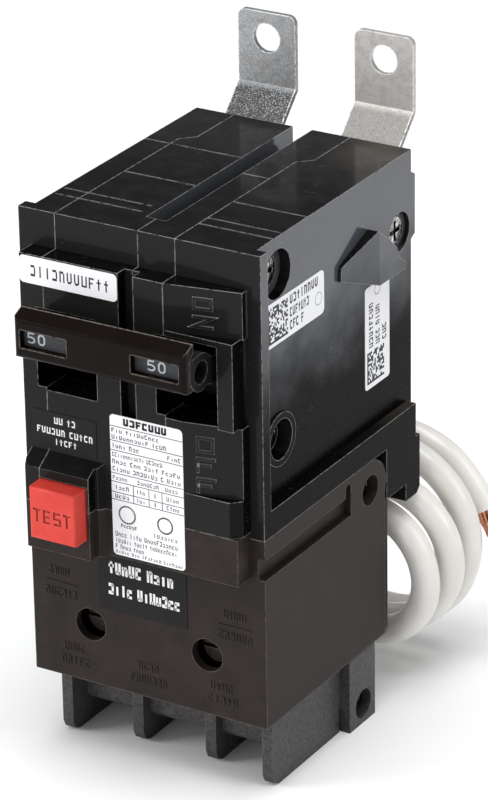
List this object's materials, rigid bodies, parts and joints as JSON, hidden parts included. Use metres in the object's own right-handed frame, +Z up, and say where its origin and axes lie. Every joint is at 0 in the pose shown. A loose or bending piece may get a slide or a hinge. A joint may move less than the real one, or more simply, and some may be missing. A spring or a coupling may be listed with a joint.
{
  "type": "two-pole ground-fault circuit breaker",
  "caption": "Two-pole bolt-on ground-fault circuit breaker: black twin case, tied toggles, red test button, brown load module and white neutral pigtail.",
  "frame": {"origin": "centre of the bounding box's base, under the load barriers, without the pigtail", "axes": "+Z up along the poles towards the line straps, +X across the poles, the front with the handles faces -Y"},
  "size_m": [0.0601, 0.0929, 0.1285],
  "materials": {
    "phenolic_black": "glossy black moulded phenolic, fine worn edges",
    "module_brown": "dark brown fine-grained moulded plastic",
    "toggle_black": "black moulded plastic",
    "tie_bar_brown": "glossy brown-black plastic",
    "rating_plate": "dark grey plate with light numerals",
    "button_red": "satin red plastic",
    "strap_tin": "tin-plated copper bar, mottled",
    "steel_zinc": "zinc-plated steel",
    "contact_brass": "copper alloy",
    "contact_silver": "silver contact alloy",
    "lug_aluminium": "extruded aluminium lug",
    "winding_copper": "enamelled copper winding",
    "board_green": "green circuit board",
    "board_parts": "moulded electronic parts",
    "inner_wire": "black insulated wire",
    "label_print": "printed labels",
    "wire_white": "glossy off-white insulation",
    "bush_black": "black grommet",
    "copper_bare": "bare copper strands"
  },
  "bodies": {
    "case": {"left_pole_base": "phenolic_black", "left_pole_cover": "phenolic_black", "right_pole_base": "phenolic_black", "right_pole_cover": "phenolic_black", "module_housing": "module_brown", "module_side_cover": "module_brown", "module_back_plate": "module_brown", "left_line_strap": "strap_tin", "right_line_strap": "strap_tin", "case_screws": "steel_zinc", "module_screws": "steel_zinc", "pivot_pins": "steel_zinc", "armature_pins": "steel_zinc", "magnet_yokes": "steel_zinc", "left_arc_chute": "steel_zinc", "right_arc_chute": "steel_zinc", "solenoid_frame": "steel_zinc", "left_toggle_spring": "steel_zinc", "right_toggle_spring": "steel_zinc", "test_spring": "steel_zinc", "plunger_spring": "steel_zinc", "left_bimetal": "contact_brass", "right_bimetal": "contact_brass", "fixed_contacts": "contact_silver", "left_load_lug": "lug_aluminium", "neutral_load_lug": "lug_aluminium", "right_load_lug": "lug_aluminium", "solenoid_coil": "winding_copper", "current_transformer": "winding_copper", "circuit_board": "board_green", "board_components": "board_parts", "test_switch": "board_parts", "left_load_wire": "inner_wire", "right_load_wire": "inner_wire", "neutral_wire": "inner_wire", "front_labels": "label_print", "side_labels": "label_print", "neutral_pigtail": "wire_white", "pigtail_coil": "wire_white", "pigtail_bush": "bush_black", "pigtail_end": "copper_bare"},
    "handle": {"left_toggle": "toggle_black", "right_toggle": "toggle_black", "handle_tie_bar": "tie_bar_brown", "handle_tie_pin": "steel_zinc", "rating_plates": "rating_plate"},
    "left_arm": {"left_contact_arm": "contact_brass", "left_moving_contact": "contact_silver"},
    "right_arm": {"right_contact_arm": "contact_brass", "right_moving_contact": "contact_silver"},
    "left_latch": {"left_trip_cradle": "steel_zinc"},
    "right_latch": {"right_trip_cradle": "steel_zinc"},
    "left_clapper": {"left_armature": "steel_zinc"},
    "right_clapper": {"right_armature": "steel_zinc"},
    "common_trip": {"trip_bar": "toggle_black"},
    "plunger": {"solenoid_plunger": "steel_zinc"},
    "button": {"test_button": "button_red"},
    "left_lug_screw": {"left_load_screw": "steel_zinc"},
    "neutral_lug_screw": {"neutral_load_screw": "steel_zinc"},
    "right_lug_screw": {"right_load_screw": "steel_zinc"}
  },
  "joints": [
    {"name": "handle_pivot", "type": "hinge", "parent": "case", "child": "handle", "pos_m": [0, -0.01565, 0.0845], "axis": [1, 0, 0], "range_deg": [0, 30], "deforming": ["left_toggle_spring", "right_toggle_spring"]},
    {"name": "left_arm_pivot", "type": "hinge", "parent": "case", "child": "left_arm", "pos_m": [-0.0127, -0.00215, 0.0755], "axis": [1, 0, 0], "range_deg": [0, 15]},
    {"name": "right_arm_pivot", "type": "hinge", "parent": "case", "child": "right_arm", "pos_m": [0.0127, -0.00215, 0.0755], "axis": [1, 0, 0], "range_deg": [0, 15]},
    {"name": "left_latch_pivot", "type": "hinge", "parent": "case", "child": "left_latch", "pos_m": [-0.0061, 0.00485, 0.066], "axis": [1, 0, 0], "range_deg": [0, 12], "stiffness_Nm_per_rad": 0.004},
    {"name": "right_latch_pivot", "type": "hinge", "parent": "case", "child": "right_latch", "pos_m": [0.0193, 0.00485, 0.066], "axis": [1, 0, 0], "range_deg": [0, 12], "stiffness_Nm_per_rad": 0.004},
    {"name": "left_clapper_pivot", "type": "hinge", "parent": "case", "child": "left_clapper", "pos_m": [-0.0127, 0.01465, 0.0735], "axis": [-1, 0, 0], "range_deg": [0, 4], "stiffness_Nm_per_rad": 0.004},
    {"name": "right_clapper_pivot", "type": "hinge", "parent": "case", "child": "right_clapper", "pos_m": [0.0127, 0.01465, 0.0735], "axis": [-1, 0, 0], "range_deg": [0, 4], "stiffness_Nm_per_rad": 0.004},
    {"name": "plunger_slide", "type": "slide", "parent": "case", "child": "plunger", "axis": [0, 0, 1], "range_m": [0, 0.0025], "stiffness_N_per_m": 60, "springref_m": -0.001, "deforming": ["plunger_spring"]},
    {"name": "common_trip_pivot", "type": "hinge", "parent": "case", "child": "common_trip", "pos_m": [0, 0.01985, 0.0625], "axis": [-1, 0, 0], "range_deg": [0, 12]},
    {"name": "test_button_press", "type": "slide", "parent": "case", "child": "button", "axis": [0, 1, 0], "range_m": [0, 0.0018], "stiffness_N_per_m": 400, "springref_m": -0.001, "deforming": ["test_spring"]},
    {"name": "left_lug_screw_travel", "type": "slide", "parent": "case", "child": "left_lug_screw", "axis": [0, -1, 0], "range_m": [0, 0.002]},
    {"name": "neutral_lug_screw_travel", "type": "slide", "parent": "case", "child": "neutral_lug_screw", "axis": [0, 1, 0], "range_m": [0, 0.002]},
    {"name": "right_lug_screw_travel", "type": "slide", "parent": "case", "child": "right_lug_screw", "axis": [0, -1, 0], "range_m": [0, 0.002]}
  ],
  "couplings": [
    {"joint": "left_arm_pivot", "follows": "handle_pivot", "ratio": 0.5},
    {"joint": "right_arm_pivot", "follows": "handle_pivot", "ratio": 0.5},
    {"joint": "common_trip_pivot", "follows": "plunger_slide", "rad_per_m": 82.938}
  ]
}
